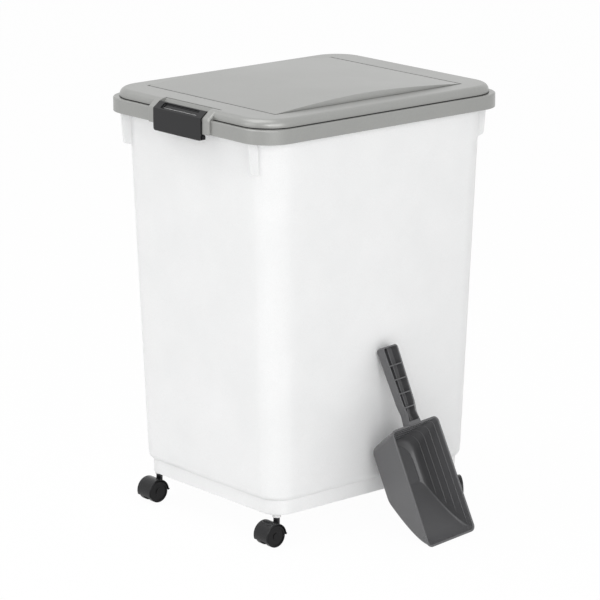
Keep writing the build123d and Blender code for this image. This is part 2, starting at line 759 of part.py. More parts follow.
def grip_outline(inward):
    """The grip seen from the front, from inside the bowl's back wall to its rounded end."""
    start = bowl_length - rim_width
    neck = bowl_length + grip_neck_length
    end = scoop_length - inward
    low = neck + grip_neck_length
    widths = [(start, grip_neck_half + 3), (neck, grip_neck_half), (low, grip_low_half), (end, grip_end_half)]
    right = [(half - inward, y) for y, half in widths]
    left = [(-x, y) for x, y in reversed(right)]
    outline = make_face(Polyline(right + left, close=True))
    ends = outline.vertices().group_by(Axis.Y)[-1]
    return fillet(ends, grip_end_round - inward)


def build_scoop():
    inner = bowl_form(scoop_wall) + extrude(bowl_outline(0, rim_width), 1)
    rim = extrude(bowl_outline(0, 0), -rim_height)
    scoop = bowl_form(0) + rim
    # grip, open at the front
    back_z = grip_front - grip_depth
    grip = Pos(0, 0, back_z) * extrude(grip_outline(0), grip_depth)
    back_edges = grip.edges().group_by(Axis.Z)[0].filter_by(lambda edge: edge.center().Y > bowl_length)
    grip = fillet(back_edges, grip_edge)
    wide = 2 * grip_end_half
    channel_z = back_z + grip_floor
    channel = Pos(0, 0, channel_z) * extrude(grip_outline(grip_wall), grip_depth)
    channel -= block(-wide, wide, 0, bowl_length + 4, back_z, grip_front + grip_depth)
    grip -= channel
    # cross ribs and a low middle rib
    for number in range(rib_count):
        y = rib_first - number * rib_pitch
        low, high = y - rib_thickness / 2, y + rib_thickness / 2
        cross = block(-wide, wide, low, high, back_z + 1, grip_front - rib_drop)
        grip += cross & (Pos(0, 0, back_z) * extrude(grip_outline(grip_wall / 2), grip_depth))
    half = rib_thickness / 2
    grip += block(-half, half, bowl_length + 3, scoop_length - 1, back_z + 1, back_z + grip_depth / 2)
    scoop += grip
    scoop -= inner
    for number in range(mark_count):
        scoop += inner_mark(mark_first + number * mark_pitch)
    return scoop


def place_scoop(scoop):
    """Lean the scoop on the tub's right side, standing on its tip."""
    lean = math.radians(lean_angle)
    back = grip_depth - grip_front
    reach = scoop_length * math.cos(math.radians(side_tilt))
    touch_z = reach * math.cos(lean) - back * math.sin(lean)
    foot_x = tub_half_width(touch_z) + lean_gap + reach * math.sin(lean) + back * math.cos(lean)
    stand = Plane(
        origin=(foot_x, scoop_y, 0), x_dir=(0, 1, 0), z_dir=(math.cos(lean), 0, math.sin(lean))
    )
    leaning = stand.location * Rot(0, 0, side_tilt) * scoop
    return Pos(0, 0, -leaning.bounding_box().min.Z) * leaning


if __name__ == "__main__":
    save(build_tub(), "tub")
    save(build_lid(), "lid")
    save(build_seal(), "lid_seal")
    save(build_latch(), "latch")
    save(build_latch_pin(), "latch_pin")
    for side, x in hinge_places.items():
        save(build_hinge_pin(x), f"hinge_pin_{side}")
    for corner, (x, y, heading) in caster_places.items():
        place = Pos(x, y, 0) * Rot(0, 0, heading)
        save(place * build_stem(), f"{corner}_caster_stem")
        save(place * build_grip_ring(), f"{corner}_grip_ring")
        save(place * build_hood(), f"{corner}_caster_hood")
        save(place * build_axle(), f"{corner}_axle")
        save(place * build_wheel(-1), f"{corner}_wheel_a")
        save(place * build_wheel(1), f"{corner}_wheel_b")
    save(place_scoop(build_scoop()), "scoop")
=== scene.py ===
"""Looks of a rolling pet food bin, laid out as an add-on and run as a script.

Every object is in metres. The origin is on the floor under the middle of the tub, +Z is up,
and the latch faces -Y. Sizes that follow the frame are read from its boxes.
"""

import math
from types import SimpleNamespace

import bpy
import numpy as np
from bpy.props import FloatProperty, FloatVectorProperty, IntProperty, PointerProperty
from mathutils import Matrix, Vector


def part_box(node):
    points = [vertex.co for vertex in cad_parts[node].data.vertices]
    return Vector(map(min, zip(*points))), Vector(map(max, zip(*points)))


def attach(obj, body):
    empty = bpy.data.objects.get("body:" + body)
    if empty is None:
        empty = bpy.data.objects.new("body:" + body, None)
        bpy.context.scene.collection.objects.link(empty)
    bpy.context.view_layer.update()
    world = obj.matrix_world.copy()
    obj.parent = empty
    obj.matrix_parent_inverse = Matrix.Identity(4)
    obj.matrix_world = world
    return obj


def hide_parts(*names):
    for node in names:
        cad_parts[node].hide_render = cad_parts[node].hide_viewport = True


bl_info = {
    "name": "Pet Food Bin",
    "version": (1, 0, 0),
    "blender": (4, 5, 0),
    "location": "3D View > Sidebar > Bin",
    "description": "Dresses the rolling pet food bin and sets its studio stage",
    "category": "Object",
}

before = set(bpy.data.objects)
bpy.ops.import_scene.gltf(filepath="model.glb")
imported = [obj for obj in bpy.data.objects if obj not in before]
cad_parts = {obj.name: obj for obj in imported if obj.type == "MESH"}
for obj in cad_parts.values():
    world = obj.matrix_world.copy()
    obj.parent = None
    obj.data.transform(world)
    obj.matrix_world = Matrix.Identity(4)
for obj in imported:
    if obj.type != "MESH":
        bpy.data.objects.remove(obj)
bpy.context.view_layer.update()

MM = 0.001
UP = (0.0, 0.0, 1.0)
SUNK = 1.0                # how far a rib's root reaches into the wall that carries it
CORNERS = ("front_left", "front_right", "rear_left", "rear_right")

# Lines on the lid, in millimetres: the grooves where shade is painted into the lid's colour
DOME_HALF_X = 174.8
DOME_HALF_Y = 219.8
DOME_CORNER = 49.0
DOME_FOOT_Z = 599.0       # middle of the line round the dome's foot
DOME_FOOT_LINE = 1.8      # its height
DOME_FOOT_IN = 0.5        # how far its middle lies inside the dome's outline
DOME_FOOT_DEPTH = 1.6
RING_Z = 611.3            # flat ring round the panel
TOP_LINE_DEPTH = 2.0      # more than any line on top is deep
PANEL_HALF_X = 138.0
PANEL_HALF_Y = 170.5
PANEL_LINE = 2.4          # width of the lines at the panel's short edges and behind the latch
LATCH_LINE_X = 6.5        # middle of the line behind the latch
LATCH_LINE_Y = -206.8
LATCH_LINE_HALF = 61.0    # half its length

# Lamps: place, what each faces and the length of its side, in metres
BIN_MIDDLE = (0.0, 0.0, 0.3)
LAMPS = {
    "key": ((-0.5, -0.9, 3.0), BIN_MIDDLE, 2.4),
    "side": ((3.3, -1.0, 1.5), BIN_MIDDLE, 2.2),
    "front": ((-0.9, -3.2, 1.3), BIN_MIDDLE, 2.2),
    "fill": ((2.9, -2.4, 1.5), BIN_MIDDLE, 2.2),
    "glint": ((2.0, -1.9, 1.45), (0.0, 0.0, 0.6), 0.5),
}
FLOOR_REACH = 14.0        # metres from the middle to each side
FLOOR_WHITE = 0.97        # share of plain white in what the eye sees of the floor


def put(name, data):
    """A new object in the scene."""
    made = bpy.data.objects.new(name, data)
    bpy.context.scene.collection.objects.link(made)
    return made


# Shaders

def add_node(tree, kind, inputs=(), **settings):
    """A node with its settings and its input links or values."""
    node = tree.nodes.new(kind)
    for name, value in settings.items():
        setattr(node, name, value)
    for name, value in dict(inputs).items():
        if isinstance(value, bpy.types.NodeSocket):
            tree.links.new(value, node.inputs[name])
        else:
            node.inputs[name].default_value = value
    return node


class Shader:
    """A Principled material whose details are added one node at a time."""

    def __init__(self, name, colour, roughness, **sockets):
        self.material = bpy.data.materials.new(name)
        self.material.use_nodes = True
        self.material.diffuse_color = (*colour[:3], 1.0)
        self.tree = self.material.node_tree
        self.main = self.tree.nodes["Principled BSDF"]
        self.main.inputs["Base Color"].default_value = (*colour[:3], 1.0)
        self.main.inputs["Roughness"].default_value = roughness
        for socket, value in sockets.items():
            self.main.inputs[socket.replace("_", " ")].default_value = value
        self.place = self.tree.nodes.new("ShaderNodeTexCoord").outputs["Object"]
        self.normal = None

    def add(self, kind, inputs=(), **settings):
        """A node in this material."""
        return add_node(self.tree, kind, inputs, **settings)

    def link(self, value, socket):
        """Feeds an input of the main shader."""
        self.tree.links.new(value, self.main.inputs[socket])

    def stretch(self, scale):
        """Object coordinates, scaled along each axis."""
        return self.add("ShaderNodeMapping", {"Vector": self.place, "Scale": scale}).outputs["Vector"]

    def noise(self, scale, detail, vector=None):
        """Fractal noise over the object, from 0 to 1."""
        inputs = {"Vector": vector or self.place, "Scale": scale, "Detail": detail}
        return self.add("ShaderNodeTexNoise", inputs).outputs["Fac"]

    def remap(self, value, low, high, to_low, to_high):
        """A value's range moved to another range, clamped."""
        inputs = {"Value": value, "From Min": low, "From Max": high, "To Min": to_low, "To Max": to_high}
        return self.add("ShaderNodeMapRange", inputs).outputs["Result"]

    def math(self, operation, *values):
        """Arithmetic on one, two or three values."""
        return self.add("ShaderNodeMath", enumerate(values), operation=operation).outputs["Value"]

    def vector(self, operation, *values):
        """Arithmetic on vectors, axis by axis."""
        return self.add("ShaderNodeVectorMath", enumerate(values), operation=operation).outputs["Vector"]

    def axes(self):
        """The three object coordinates, one by one."""
        outputs = self.add("ShaderNodeSeparateXYZ", {"Vector": self.place}).outputs
        return outputs["X"], outputs["Y"], outputs["Z"]

    def near(self, value, middle, width):
        """1 in a band of the given width, in millimetres, round a middle, and 0 elsewhere."""
        return self.math("COMPARE", value, middle * MM, width / 2 * MM)

    def rim_distance(self, half_x, half_y, radius):
        """Level distance to a rounded rectangle around the Z axis, less than 0 inside it.

        It is the length of what the absolute place goes past the corner's middle, less the radius.
        """
        middle = ((half_x - radius) * MM, (half_y - radius) * MM, 0)
        past = self.vector("SUBTRACT", self.vector("ABSOLUTE", self.place), middle)
        level = self.vector("MULTIPLY", self.vector("MAXIMUM", past, (0, 0, 0)), (1, 1, 0))
        length = self.add("ShaderNodeVectorMath", {0: level}, operation="LENGTH").outputs["Value"]
        return self.math("SUBTRACT", length, radius * MM)

    def tint(self, factor, colour):
        """Blends the base colour towards another by a factor."""
        base = self.main.inputs["Base Color"]
        before = base.links[0].from_socket if base.is_linked else base.default_value
        inputs = {"Factor": factor, "A": before, "B": (*colour, 1.0)}
        self.link(self.add("ShaderNodeMix", inputs, data_type="RGBA").outputs["Result"], "Base Color")

    def bump(self, height, strength, distance):
        """Adds a relief on top of those already there."""
        inputs = {"Height": height, "Strength": strength, "Distance": distance}
        if self.normal is not None:
            inputs["Normal"] = self.normal
        self.normal = self.add("ShaderNodeBump", inputs).outputs["Normal"]
        self.link(self.normal, "Normal")


def moulded_plastic(name, colour, roughness, grain, depth, **sockets):
    """Injection moulded plastic: a fine spark-eroded grain, darker here and there, and slow pale marks."""
    shader = Shader(name, colour, roughness, **sockets)
    slow = shader.noise(scale=9.0, detail=3.0)
    fine = shader.noise(scale=grain, detail=5.0)
    lighter = [min(channel * 1.12 + 0.004, 1.0) for channel in colour]
    darker = [channel * 0.88 for channel in colour]
    shader.tint(shader.remap(slow, 0.35, 0.7, 0.0, 0.5), lighter)
    shader.tint(shader.remap(fine, 0.4, 0.75, 0.0, 0.35), darker)
    shader.link(shader.remap(slow, 0.3, 0.7, roughness * 0.88, min(roughness * 1.14, 1.0)), "Roughness")
    shader.bump(fine, 0.25, depth)
    shader.bump(slow, 0.12, depth * 4)
    return shader


def steel_wire(name, colour, axis_scale):
    """Drawn steel: fine scratches along its length."""
    shader = Shader(name, colour, 0.35, Metallic=1.0)
    lines = shader.noise(scale=900.0, detail=3.0, vector=shader.stretch(axis_scale))
    shader.link(shader.remap(lines, 0.3, 0.7, 0.29, 0.45), "Roughness")
    shader.bump(lines, 0.2, 0.00004)
    return shader


def dress(node, shader):
    """Gives a carried-over piece its finish."""
    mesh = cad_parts[node].data
    mesh.materials.clear()
    mesh.materials.append(shader.material)


# Surfaces

def rounded_path(points, radii, steps=7):
    """A path with rounded corners, in any number of dimensions.

    At each inner point, an arc of the given radius touches both straight runs; its points are
    spaced evenly in angle between the two directions from the arc's centre.
    """
    points = np.asarray(points, float)
    before = points[:-2] - points[1:-1]
    after = points[2:] - points[1:-1]
    before /= np.linalg.norm(before, axis=1, keepdims=True)
    after /= np.linalg.norm(after, axis=1, keepdims=True)
    half = np.arccos(np.clip((before * after).sum(1), -0.9999, 0.9999)) / 2
    radius = np.asarray(radii, float)
    reach = (radius / np.tan(half))[:, None]
    middle = before + after
    middle /= np.linalg.norm(middle, axis=1, keepdims=True)
    centre = points[1:-1] + middle * (radius / np.sin(half))[:, None]
    first = points[1:-1] + before * reach - centre
    last = points[1:-1] + after * reach - centre
    turn = (math.pi - 2 * half)[:, None, None]
    share = np.linspace(0, 1, steps)[None, :, None]
    arcs = (np.sin((1 - share) * turn) * first[:, None] + np.sin(share * turn) * last[:, None]) / np.sin(turn)
    arcs += centre[:, None]
    return np.concatenate([points[:1], arcs.reshape(-1, points.shape[1]), points[-1:]])


def filled_path(path, longest):
    """The same path with its long runs divided, so that no step is longer than the given length."""
    runs = np.linalg.norm(np.diff(path, axis=0), axis=1)
    counts = np.maximum(np.ceil(runs / longest).astype(int), 1)
    start = np.repeat(np.arange(len(runs)), counts)
    share = (np.arange(counts.sum()) - np.repeat(np.cumsum(counts) - counts, counts)) / counts[start]
    rows = path[start] + (path[start + 1] - path[start]) * share[:, None]
    return np.concatenate([rows, path[-1:]])


def rounded_rings(half_x, half_y, radius, near_radius=None, corner_steps=20, side_steps=10):
    """Rounded rectangles, one a row: four quarter circles joined by straight sides.

    The two corners on the -Y side take the near radius where one is given.
    """
    near_radius = radius if near_radius is None else near_radius
    sizes = (half_x, half_y, radius, near_radius)
    sizes = np.broadcast_arrays(*(np.atleast_1d(np.asarray(v, float)) for v in sizes))
    half_x, half_y, far, near = (v[:, None, None] for v in sizes)
    radius = np.concatenate([far, far, near, near], axis=1)
    angle = (np.linspace(0, 1, corner_steps) + np.arange(4)[:, None])[None] * math.pi / 2
    sign_x = np.array([1, -1, -1, 1])[None, :, None]
    sign_y = np.array([1, 1, -1, -1])[None, :, None]
    arc_x = sign_x * (half_x - radius) + radius * np.cos(angle)
    arc_y = sign_y * (half_y - radius) + radius * np.sin(angle)
    arcs = np.stack([arc_x, arc_y], axis=-1)
    start, end = arcs[:, :, -1:], np.roll(arcs, -1, axis=1)[:, :, :1]
    share = np.linspace(0, 1, side_steps + 2)[None, None, 1:-1, None]
    rings = np.concatenate([arcs, start + (end - start) * share], axis=2)
    return rings.reshape(len(sizes[0]), -1, 2)


class Surface:
    """Collects closed skins, in millimetres, into one mesh object."""

    def __init__(self):
        self.points, self.faces, self.count = [], [], 0

    def skin(self, points, flip=False):
        """Adds rings of points, one a row: quads between the rings and a flat face on each end ring."""
        rows, columns = points.shape[:2]
        first = np.arange(self.count, self.count + columns)
        left = first + np.arange(rows)[:, None] * columns
        right = np.roll(left, -1, axis=1)
        quads = np.stack([left[:-1], right[:-1], right[1:], left[1:]], -1).reshape(-1, 4)
        faces = [*quads.tolist(), first[::-1].tolist(), left[-1].tolist()]
        self.faces += [face[::-1] for face in faces] if flip else faces
        self.points.append(points.reshape(-1, 3))
        self.count += rows * columns
        return self

    def finish(self, name, shader, body, slot, replaces=(), smooth_angle=50):
        """Makes the object, dresses it and lets it ride on its body."""
        mesh = bpy.data.meshes.new(name)
        mesh.from_pydata((np.concatenate(self.points) * MM).tolist(), [], self.faces)
        mesh.validate()
        mesh.materials.append(shader.material)
        piece = put(name, mesh)
        mesh.shade_smooth()
        mesh.set_sharp_from_angle(angle=math.radians(smooth_angle))
        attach(piece, body)
        if replaces:
            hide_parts(*replaces)


def prism(outline, low, high, axis, edge=0.5):
    """A closed outline carried along an axis, with its two rims chamfered by a small edge.

    The outline's points are moved towards its middle at both ends by the edge's width.
    """
    outline = np.asarray(outline, float)
    middle = outline.mean(axis=0)
    inner = outline + (middle - outline) / np.linalg.norm(middle - outline, axis=1, keepdims=True) * edge
    levels = (low, low + edge, high - edge, high)
    rows = []
    for level, ring in zip(levels, (inner, outline, outline, inner)):
        rows.append(np.insert(ring, axis, level, axis=1))
    return np.stack(rows)


def turned(profile, centre, steps=40):
    """A profile of (radius, height) points, turned about the upright axis through the centre.

    Each point gives a level circle: radius times the cosine and the sine of evenly spaced angles.
    """
    angle = np.linspace(0, 2 * math.pi, steps, endpoint=False)
    radius, z = profile[:, :1], np.repeat(profile[:, 1:], steps, axis=1)
    return np.stack([radius * np.cos(angle), radius * np.sin(angle), z], axis=-1) + np.asarray(centre)


# Tub

def tub_outline(tub, z):
    """Half width, half length and corner radius of the tub's outside at a height; level below the floor."""
    share = np.clip((z - tub.floor_z) / (tub.lip_z - tub.floor_z), 0, 1)
    half_x = (tub.base_width + (tub.top_width - tub.base_width) * share) / 2
    half_y = (tub.base_length + (tub.top_length - tub.base_length) * share) / 2
    return half_x, half_y, tub.base_corner + (tub.top_corner - tub.base_corner) * share


def tub_shell(tub):
    """The tub as one closed skin.

    A path of (offset in X, offset in Y, change of corner radius, height) runs from the middle of the
    inner floor up the inside, over the lip, round the flange, down the outside and round the foot
    band. At each of its points a rounded rectangle of the tub's size at that height is drawn.
    """
    wall, foot = tub.wall, tub.foot_inset
    edge_x, edge_y, edge_r = tub_outline(tub, tub.flange_z)
    out = (tub.flange_width / 2 - edge_x, tub.flange_length / 2 - edge_y, tub.flange_corner - edge_r)
    low, skirt = tub.flange_z - tub.flange_thickness, foot + tub.foot_wall
    inner_floor, under_floor = 30.0, 34.0    # how far in the level rows go before one flat face closes them
    lip_round, flange_round, flange_root, foot_root, foot_round = wall * 0.45, 0.9, 0.8, 1.2, 1.0
    longest_step = 14.0
    path = [
        (-inner_floor, -inner_floor, -inner_floor, tub.floor_z + wall, 0),
        (-wall, -wall, -wall, tub.floor_z + wall, tub.floor_round - wall),
        (-wall, -wall, -wall, tub.lip_z, lip_round),
        (0, 0, 0, tub.lip_z, lip_round),
        (0, 0, 0, tub.flange_z, flange_round),
        (*out, tub.flange_z, flange_round),
        (*out, low, flange_round),
        (0, 0, 0, low, flange_root),
        (0, 0, 0, tub.floor_z, tub.floor_round),
        (-foot, -foot, -foot, tub.floor_z, foot_root),
        (-foot, -foot, -foot, tub.foot_z, foot_round),
        (-skirt, -skirt, -skirt, tub.foot_z, foot_round),
        (-skirt, -skirt, -skirt, tub.floor_z, foot_round),
        (-under_floor, -under_floor, -under_floor, tub.floor_z, 0),
    ]
    path = np.array(path, float)
    rows = filled_path(rounded_path(path[:, :4], path[1:-1, 4]), longest_step)
    half_x, half_y, corner = tub_outline(tub, rows[:, 3])
    rings = rounded_rings(half_x + rows[:, 0], half_y + rows[:, 1], np.maximum(corner + rows[:, 2], 2.0))
    return np.concatenate([rings, np.repeat(rows[:, None, 3:4], rings.shape[1], axis=1)], axis=-1)


def gusset_outline(tub, side):
    """A thin plate under the flange, as (y, z) points on the side of the given sign."""
    low = tub.flange_z - tub.flange_thickness
    foot = low - tub.gusset_height
    top = low + 0.4    # into the flange
    reach = tub.flange_length / 2 - 1
    root_top, root_foot = (tub_outline(tub, z)[1] - SUNK for z in (low, foot))
    heel, toe = (reach - 4.5, foot + 6), (reach - 6.5, foot + 3)
    points = [(root_top, top), (reach, top), heel, toe, (root_foot, foot)]
    return [(side * y, z) for y, z in points]


def lug_outline(tub):
    """A hinge lug from the back wall to a round eye, as (y, z) points."""
    angle = np.linspace(-0.5 * math.pi, 0.62 * math.pi, 16)
    eye_y = tub.hinge_y + tub.hinge_radius * np.cos(angle)
    eye_z = tub.hinge_z + tub.hinge_radius * np.sin(angle)
    root = tub_outline(tub, tub.hinge_z)[1] - SUNK
    edge, top = tub.flange_length / 2, tub.flange_z - SUNK
    shoulder, heel = tub.hinge_z + 0.8, tub.hinge_z - 17
    return [*zip(eye_y, eye_z), (edge, shoulder), (edge, top), (root, top), (root, heel)]


def stem_place(corner):
    """Where a caster's stem stands, in millimetres."""
    low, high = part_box(f"{corner}_caster_stem")
    return (low.x + high.x) / 2 / MM, (low.y + high.y) / 2 / MM


def socket_ring(tub, corner):
    """A caster socket: down the outside, round its mouth and up the bore, turned about the stem."""
    outer, bore, mouth = tub.socket_radius, tub.socket_bore, tub.socket_mouth
    roof, outer_edge, bore_edge = 3.0, 0.8, 0.5    # solid plastic over the bore, and the mouth's roundings
    path = [(outer, tub.floor_z + SUNK / 2), (outer, mouth), (bore, mouth), (bore, tub.floor_z - roof)]
    return turned(rounded_path(path, (outer_edge, bore_edge)), (*stem_place(corner), 0))[::-1]


def socket_webs(tub, corner):
    """Two thin plates from a caster socket to the foot band, one along X and one along Y.

    Each ends on the quarter circle that the middle of the band's wall follows round the corner.
    """
    x, y = stem_place(corner)
    bend_x, bend_y = tub.base_width / 2 - tub.base_corner, tub.base_length / 2 - tub.base_corner
    bend = tub.base_corner - tub.foot_inset - tub.foot_wall / 2
    root = tub.socket_bore + SUNK
    low, high = tub.foot_z + 2, tub.floor_z + SUNK / 2
    half = 1.0    # half of a plate's thickness
    plates = []
    for axis, (here, other) in enumerate(((x, y), (y, x))):
        middles = ((bend_x, bend_y), (bend_y, bend_x))[axis]
        end = middles[0] + math.sqrt(bend ** 2 - max(abs(other) - middles[1], 0) ** 2)
        run = sorted(math.copysign(reach, here) for reach in (abs(here) + root, end))
        across = (other - half, other + half)
        (x0, x1), (y0, y1) = (run, across) if axis == 0 else (across, run)
        plates.append(bar((x0, y0, low), (x1, y1, high)))
    return plates


# Scoop, in its own frame: X across, Y from the tip to the end of the grip, Z out of the bowl

def scoop_walls(scoop, depth, inward):
    """Where the tip wall and the back wall stand at a depth, moved in by a wall's thickness.

    Each wall's run grows with a power of the depth; the slope of that curve turns the thickness
    into a level distance.
    """
    share = np.clip(depth / scoop.bowl_depth, 0, 1)
    tip_slope = scoop.tip_run * scoop.tip_bend * share ** (scoop.tip_bend - 1) / scoop.bowl_depth
    back_slope = scoop.back_run * scoop.back_bend * share ** (scoop.back_bend - 1) / scoop.bowl_depth
    tip = scoop.tip_run * share ** scoop.tip_bend + inward * np.hypot(1, tip_slope)
    back = scoop.bowl_length - scoop.back_run * share ** scoop.back_bend - inward * np.hypot(1, back_slope)
    return tip, back


def scoop_rings(scoop, inward, z):
    """The bowl's outlines at heights: rounded rectangles, narrower at the tip than at the back.

    Near the floor a quarter circle draws them in. The two corners at the back grow with the depth,
    on the inside more, and the two at the tip tighten to a crease.
    """
    least_round, least_corner, least_crease = 0.5, 2.0, 1.2
    depth = np.maximum(-z, 0)
    over = np.maximum(depth + scoop.floor_round - scoop.bowl_depth, 0)
    rounding = np.maximum(scoop.floor_round - inward, least_round)
    into_floor = rounding - np.sqrt(np.maximum(rounding ** 2 - over ** 2, 0))
    tip, back = scoop_walls(scoop, depth, inward)
    tip, back = tip + into_floor / 2, back - into_floor
    half = scoop.back_width / 2 - inward - into_floor - scoop.side_run * depth / scoop.bowl_depth
    share = depth / scoop.bowl_depth
    inside = (inward > scoop.rim_width - 0.01) * share
    corner = scoop.corner + (scoop.deep_corner - scoop.corner) * share + scoop.inner_round * inside
    crease = scoop.crease + (scoop.corner - scoop.crease) * (1 - share) ** 2
    corner, crease = np.maximum(corner - inward, least_corner), np.maximum(crease - inward, least_crease)
    rings = rounded_rings(half, (back - tip) / 2, corner, crease, corner_steps=16, side_steps=14)
    along = rings[..., 1] + ((tip + back) / 2)[:, None]
    narrowing = (scoop.back_width - scoop.tip_width) / 2 * (1 - along / scoop.bowl_length)
    across = rings[..., 0] * (1 - narrowing / half[:, None])
    return np.stack([across, along, np.repeat(z[:, None], rings.shape[1], axis=1)], axis=-1)


def scoop_bowl(scoop):
    """The bowl as one closed skin: up the inside, over the rolled rim and down the outside.

    Each row is one outline, moved in by a thickness. The rows of a wall stand at its depth times a
    power of a sine, so they crowd towards the floor.
    """
    rim, under, inset = scoop.rim_width, -scoop.rim_height, scoop.rim_width - scoop.wall
    start, least_gap = -4.5, 0.1    # where the walls begin under the rim, and the least step to them
    corners = [(rim, start), (rim, 0), (0, 0), (0, under), (inset, under), (inset, start)]
    rolled = rounded_path(corners, (0.9, 1.3, 1.3, 0.5))

    def wall_rows(inward, deepest, count):
        z = -deepest * np.sin(np.linspace(0, math.pi / 2, count)) ** 0.9
        return np.stack([np.full(count, inward), z], axis=1)[z < start - least_gap]

    inner = wall_rows(rim, scoop.bowl_depth - scoop.wall, 24)[::-1]
    rows = np.concatenate([inner, rolled, wall_rows(inset, scoop.bowl_depth, 26)])
    return scoop_rings(scoop, rows[:, 0], rows[:, 1])


def tube(path, radius, steps=8):
    """A round bar along a level path: at each point, a circle across the way ahead.

    Its ends shrink to a small ring that a flat face closes.
    """
    ahead = np.gradient(path, axis=0)
    ahead /= np.linalg.norm(ahead, axis=1, keepdims=True)
    beside = np.cross(ahead, UP)
    angle = np.linspace(0, 2 * math.pi, steps, endpoint=False)
    size = np.full(len(path), radius)
    size[[0, -1]] *= 0.3
    around = beside[:, None] * np.cos(angle)[:, None] + np.array(UP) * np.sin(angle)[:, None]
    return path[:, None] + around * size[:, None, None]


def scoop_mark(scoop, depth):
    """A thin ridge along the inside of the bowl's sides and back: a tube on the outline at a depth."""
    ring = scoop_rings(scoop, np.array([scoop.rim_width]), np.array([-depth]))[0]
    order = np.roll(ring, -int(np.argmin(ring[:, 1])), axis=0)
    return tube(order[order[:, 1] > ring[:, 1].min() + scoop.mark_start], scoop.mark_proud)


def grip_ring(scoop, inward, z, start):
    """The grip's outline seen from the front: a waist behind the bowl and a rounded end.

    Four half widths at four places along the grip, mirrored and joined by a path with round corners.
    """
    neck = scoop.bowl_length + scoop.neck_length
    places = (start, neck, neck + scoop.neck_length, scoop.length - inward)
    flare = 2.2    # how much wider each side is at the bowl than at the waist
    widths = np.array([scoop.neck_half + flare, scoop.neck_half, scoop.low_half, scoop.end_half]) - inward
    radii = (0.8, 14, 20, scoop.end_round - inward)
    right = list(zip(widths, places))
    left = [(-x, y) for x, y in reversed(right)]
    ring = rounded_path([(0, start), *right, *left, (0, start)], (*radii, *radii[::-1]), 9)[:-1]
    return np.insert(ring, 2, z, axis=1)


def grip_shell(scoop):
    """The grip: up its outside, over the edge and down into the open channel.

    At each (inset, height) point of that profile, the grip's outline is moved in by the inset.
    """
    front, wall = scoop.grip_front, scoop.grip_wall
    back = front - scoop.grip_depth
    floor = back + scoop.grip_floor
    edge, bevel = 1.6, 0.25
    angle = np.linspace(0, math.pi / 2, 6)
    quarter = np.stack([edge - edge * np.sin(angle), back + edge - edge * np.cos(angle)], axis=1)
    outside = [*quarter, (0, front - 0.9), (bevel, front - bevel), (0.9, front)]
    inside = [(wall - 0.7, front), (wall, front - 0.6), (wall, floor + 0.8), (wall + bevel, floor + 0.2)]
    inside += [(wall + 0.9, floor)]
    in_bowl, past_bowl = 1.2, 4.0    # where the grip starts in the bowl's wall, and its channel after it
    channel = scoop.bowl_length + past_bowl - wall
    starts = [scoop_walls(scoop, max(-z, 0), 0.0)[1] - in_bowl for inward, z in outside]
    starts += [channel + inward for inward, z in inside]
    return np.stack([grip_ring(scoop, *place, start) for place, start in zip(outside + inside, starts)])


def bar(low, high, edge=0.3):
    """A box between two corners, with its upright edges chamfered."""
    (x0, y0, z0), (x1, y1, z1) = low, high
    outline = [
        (x0 + edge, y0), (x1 - edge, y0), (x1, y0 + edge), (x1, y1 - edge),
        (x1 - edge, y1), (x0 + edge, y1), (x0, y1 - edge), (x0, y0 + edge),
    ]
    return prism(outline, z0, z1, 2, edge * 0.8)


def grip_ribs(scoop):
    """The cross ribs in the grip's channel, evenly spaced, and the low spine along its middle."""
    back = scoop.grip_front - scoop.grip_depth
    half, low_end = scoop.rib_thickness / 2, scoop.bowl_length + 2 * scoop.neck_length
    places = scoop.rib_first - scoop.rib_pitch * np.arange(scoop.rib_count)
    reaches = np.interp(places, (low_end, scoop.length), (scoop.low_half, scoop.end_half)) - SUNK
    bars = [
        bar((-reach, y - half, back + SUNK), (reach, y + half, scoop.grip_front - 0.6))
        for reach, y in zip(reaches, places)
    ]
    spine_top = back + scoop.grip_depth / 2
    bars.append(bar((-half, scoop.bowl_length + 3, back + SUNK), (half, scoop.length - SUNK, spine_top)))
    return bars


def lean_on_tub(scoop, points):
    """Turns the scoop's own frame into the room's: tilted in its plane, then leaned back on the tub."""
    tilt, lean = scoop.tilt, scoop.lean
    turn = np.array([[math.cos(tilt), -math.sin(tilt), 0], [math.sin(tilt), math.cos(tilt), 0], [0, 0, 1]])
    axes = np.array([[0, 1, 0], [-math.sin(lean), 0, math.cos(lean)], [math.cos(lean), 0, math.sin(lean)]])
    return points @ turn.T @ axes


# Sizes and colours that a user would change

def in_millimetres(group):
    """A group's settings as plain numbers: lengths in millimetres, angles in radians, the rest as it is."""
    values = {}
    for name in group.__annotations__:
        is_length = group.bl_rna.properties[name].unit == "LENGTH"
        value = getattr(group, name)
        values[name] = round(value / MM, 4) if is_length else value
    return SimpleNamespace(**values)


class BinFinish(bpy.types.PropertyGroup):
    tub_colour: FloatVectorProperty(
        name="Tub", description="Milky plastic of the tub", subtype="COLOR", size=3, min=0, max=1,
        default=(0.9, 0.905, 0.905),
    )
    lid_colour: FloatVectorProperty(
        name="Lid", description="Grey plastic of the lid", subtype="COLOR", size=3, min=0, max=1,
        default=(0.31, 0.313, 0.302),
    )
    latch_colour: FloatVectorProperty(
        name="Latch", description="Black plastic of the latch", subtype="COLOR", size=3, min=0, max=1,
        default=(0.007, 0.007, 0.008),
    )
    scoop_colour: FloatVectorProperty(
        name="Scoop", description="Charcoal plastic of the scoop", subtype="COLOR", size=3, min=0, max=1,
        default=(0.115, 0.115, 0.119),
    )
    caster_colour: FloatVectorProperty(
        name="Casters", description="Black plastic of the casters", subtype="COLOR", size=3, min=0, max=1,
        default=(0.009, 0.009, 0.01),
    )


